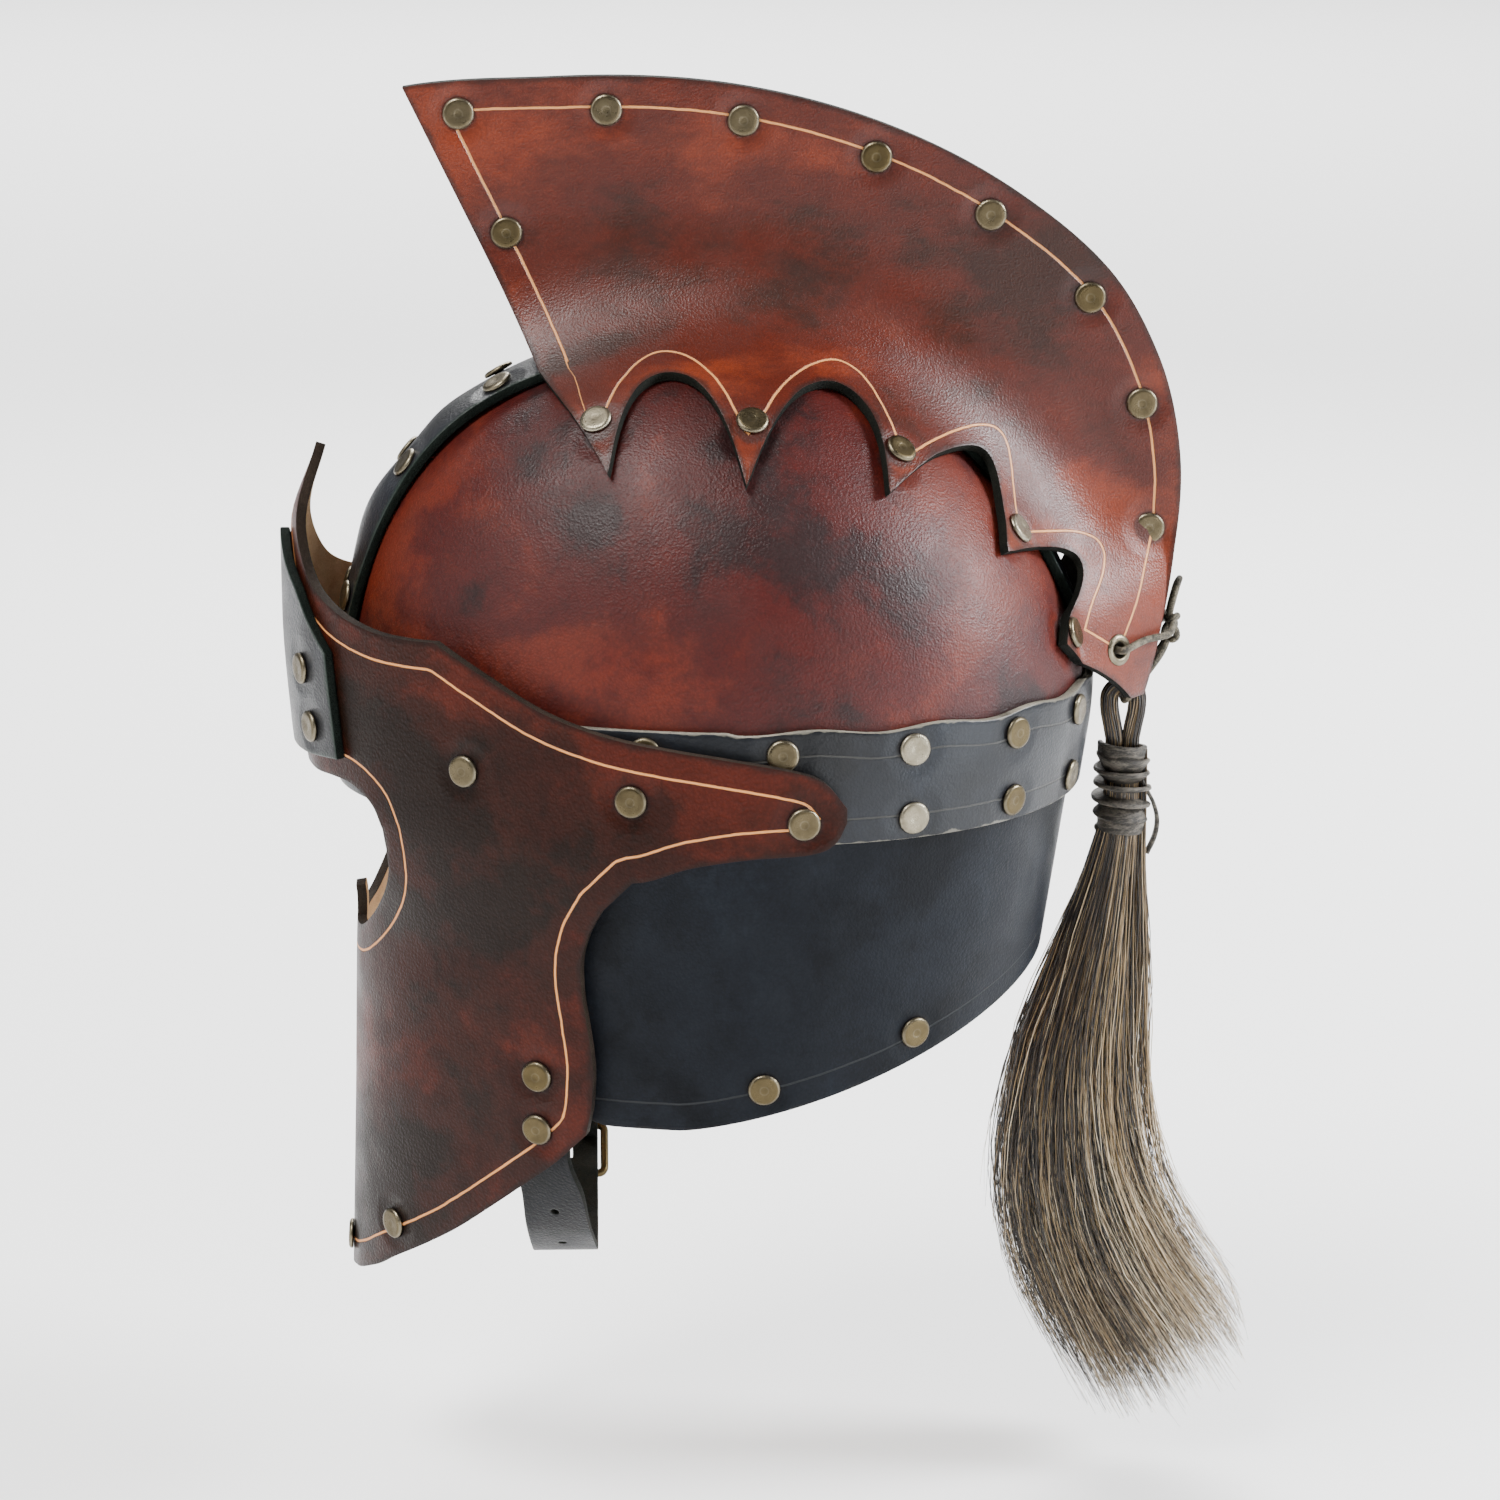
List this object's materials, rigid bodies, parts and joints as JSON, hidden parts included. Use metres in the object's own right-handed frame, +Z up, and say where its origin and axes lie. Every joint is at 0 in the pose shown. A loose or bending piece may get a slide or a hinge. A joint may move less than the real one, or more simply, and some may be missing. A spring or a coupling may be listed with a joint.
{
  "type": "roman helmet",
  "caption": "Roman style helmet of riveted leather sheets with a face mask, a two-leaf scalloped crest, a neck guard, a buckled chin strap and a hanging horsehair tail.",
  "frame": {"origin": "middle of the head oval at half the head band's height, where the wearer's head carries the helmet", "axes": "+Z up, the wearer looks along -Y, the wearer's left is +X"},
  "size_m": [0.1982, 0.293, 0.4272],
  "materials": {
    "skull_leather": "mahogany dyed leather with dark blotches, satin",
    "black_leather": "blue-black dyed leather, satin",
    "mask_leather": "dark red-brown dyed leather with incised tan lines, natural inside",
    "plate_leather": "black leather with a dark green suede edge",
    "crest_leather": "bright red-brown dyed leather with incised tan lines, dark suede inside",
    "strap_leather": "black strap leather",
    "antique_brass": "antique brass, worn towards nickel on some caps",
    "lace_leather": "round dark olive-brown lace",
    "whipping_leather": "flat grey-brown lace",
    "horse_hair": "horse hair, dark brown with golden strands"
  },
  "bodies": {
    "helmet": {"skull_panel_left": "skull_leather", "skull_panel_right": "skull_leather", "skull_strap": "black_leather", "head_band": "black_leather", "neck_guard": "black_leather", "face_mask": "mask_leather", "brow_plate": "plate_leather", "crest_left": "crest_leather", "crest_right": "crest_leather", "crest_eyelets": "antique_brass", "rivets_crest_ridge": "antique_brass", "rivets_crest_points": "antique_brass", "rivets_skull_strap": "antique_brass", "rivets_band_upper": "antique_brass", "rivets_band_lower": "antique_brass", "rivets_neck_guard": "antique_brass", "rivets_temple": "antique_brass", "rivets_cheek": "antique_brass", "rivets_chin": "antique_brass", "rivets_brow_plate": "antique_brass", "chin_strap": "strap_leather", "buckle_strap": "strap_leather", "tail_lace": "lace_leather", "tail_knot": "lace_leather"},
    "sling": {"tail_sling": "lace_leather"},
    "tail": {"tail_hair_loop": "horse_hair", "tail_whipping": "whipping_leather", "tail_hair": "horse_hair"},
    "buckle": {"buckle_frame": "antique_brass"},
    "prong": {"buckle_prong": "antique_brass"},
    "keeper": {"strap_keeper": "strap_leather"}
  },
  "joints": [
    {"name": "sling_sway", "type": "hinge", "parent": "helmet", "child": "sling", "pos_m": [0, 0.139, 0.0275], "axis": [0, 1, 0], "range_deg": [-7, 7]},
    {"name": "tail_swing", "type": "hinge", "parent": "sling", "child": "tail", "pos_m": [0, 0.125, 0.0045], "axis": [1, 0, 0], "range_deg": [0, 75]},
    {"name": "buckle_turn", "type": "hinge", "parent": "helmet", "child": "buckle", "pos_m": [-0.046, -0.048, -0.148], "axis": [0, 1, 0], "range_deg": [0, 6]},
    {"name": "prong_turn", "type": "hinge", "parent": "buckle", "child": "prong", "pos_m": [-0.046, -0.048, -0.148], "axis": [0, 1, 0], "range_deg": [0, 12]},
    {"name": "keeper_slide", "type": "slide", "parent": "helmet", "child": "keeper", "axis": [-0.766, 0, 0.6428], "range_m": [-0.001, 0.003]}
  ]
}
